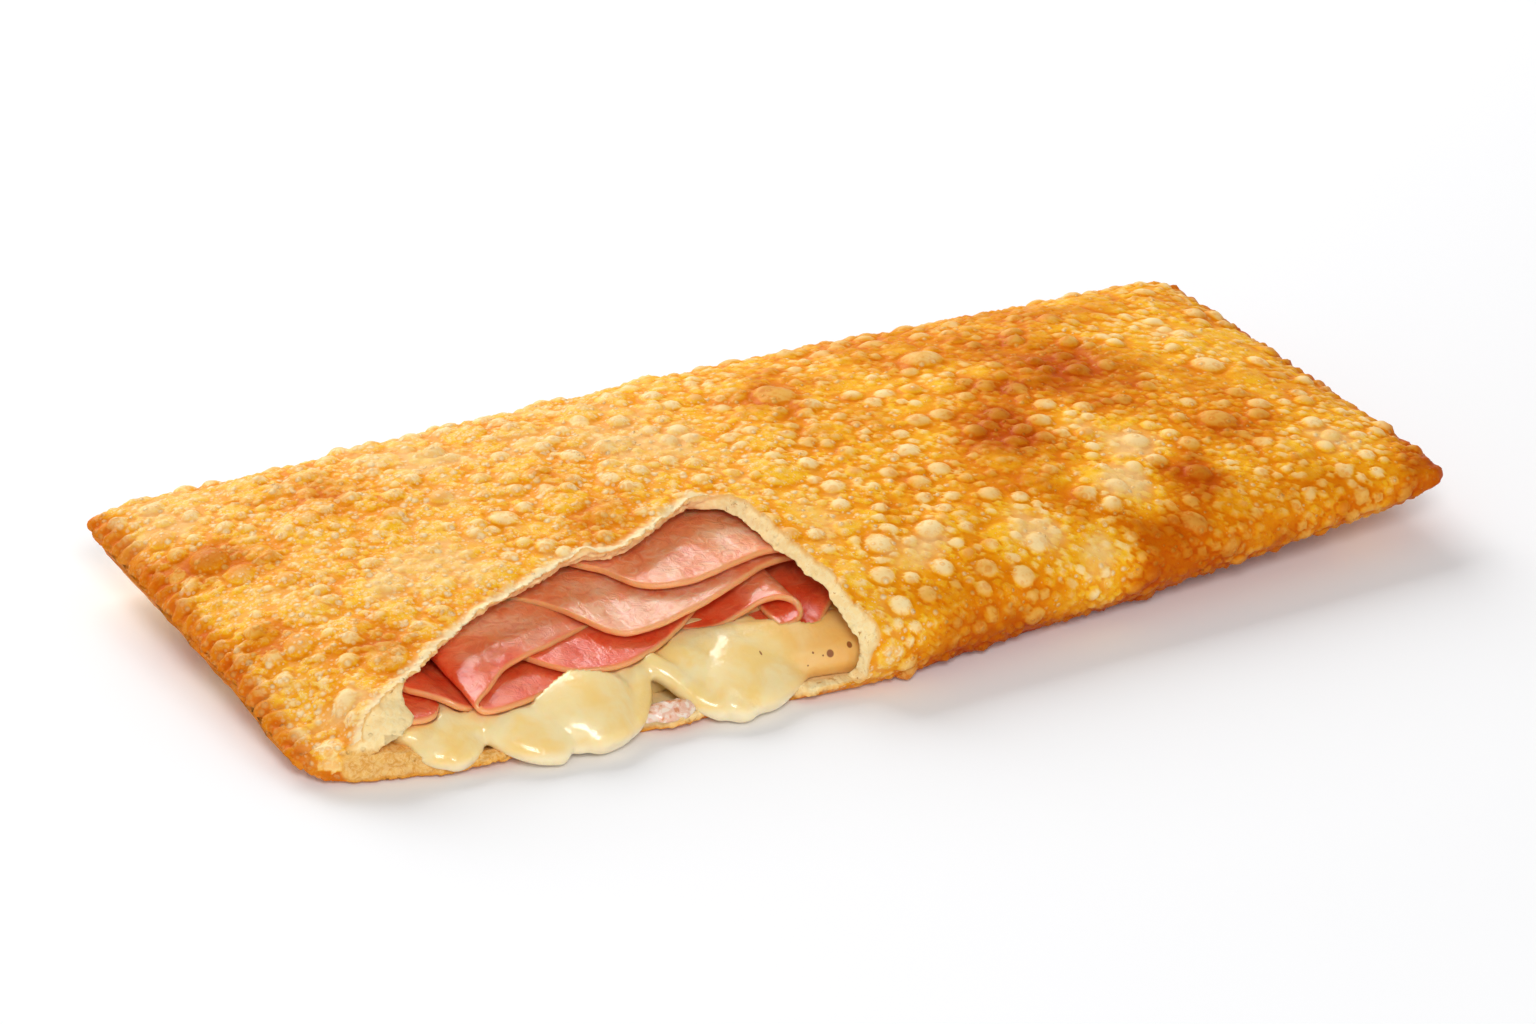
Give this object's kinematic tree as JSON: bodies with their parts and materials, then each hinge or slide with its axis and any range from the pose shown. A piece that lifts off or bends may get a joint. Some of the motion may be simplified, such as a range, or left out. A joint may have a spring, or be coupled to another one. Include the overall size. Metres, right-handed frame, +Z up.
{
  "type": "ham and cheese fried pastry",
  "caption": "Flat rectangular fried pastry with a blistered golden crust, torn open at one side to show folded ham slices over melted cheese.",
  "frame": {"origin": "on the table, in the middle of the pastry's footprint", "axes": "+X along the pastry, towards its whole end; +Y away from the torn side; +Z up"},
  "size_m": [0.2, 0.0934, 0.0215],
  "materials": {
    "crust": "crisp fried dough, blistered, with an oily sheen",
    "cheese": "melted cheese, smooth and wet",
    "ham": "moist cooked ham, satin with wet spots"
  },
  "bodies": {
    "root": {"crust": "crust", "cheese": "cheese", "ham_top": "ham", "ham_long": "ham", "ham_folded": "ham", "ham_low": "ham", "ham_curl": "ham", "ham_right": "ham", "ham_left": "ham", "ham_left_low": "ham"}
  },
  "joints": []
}
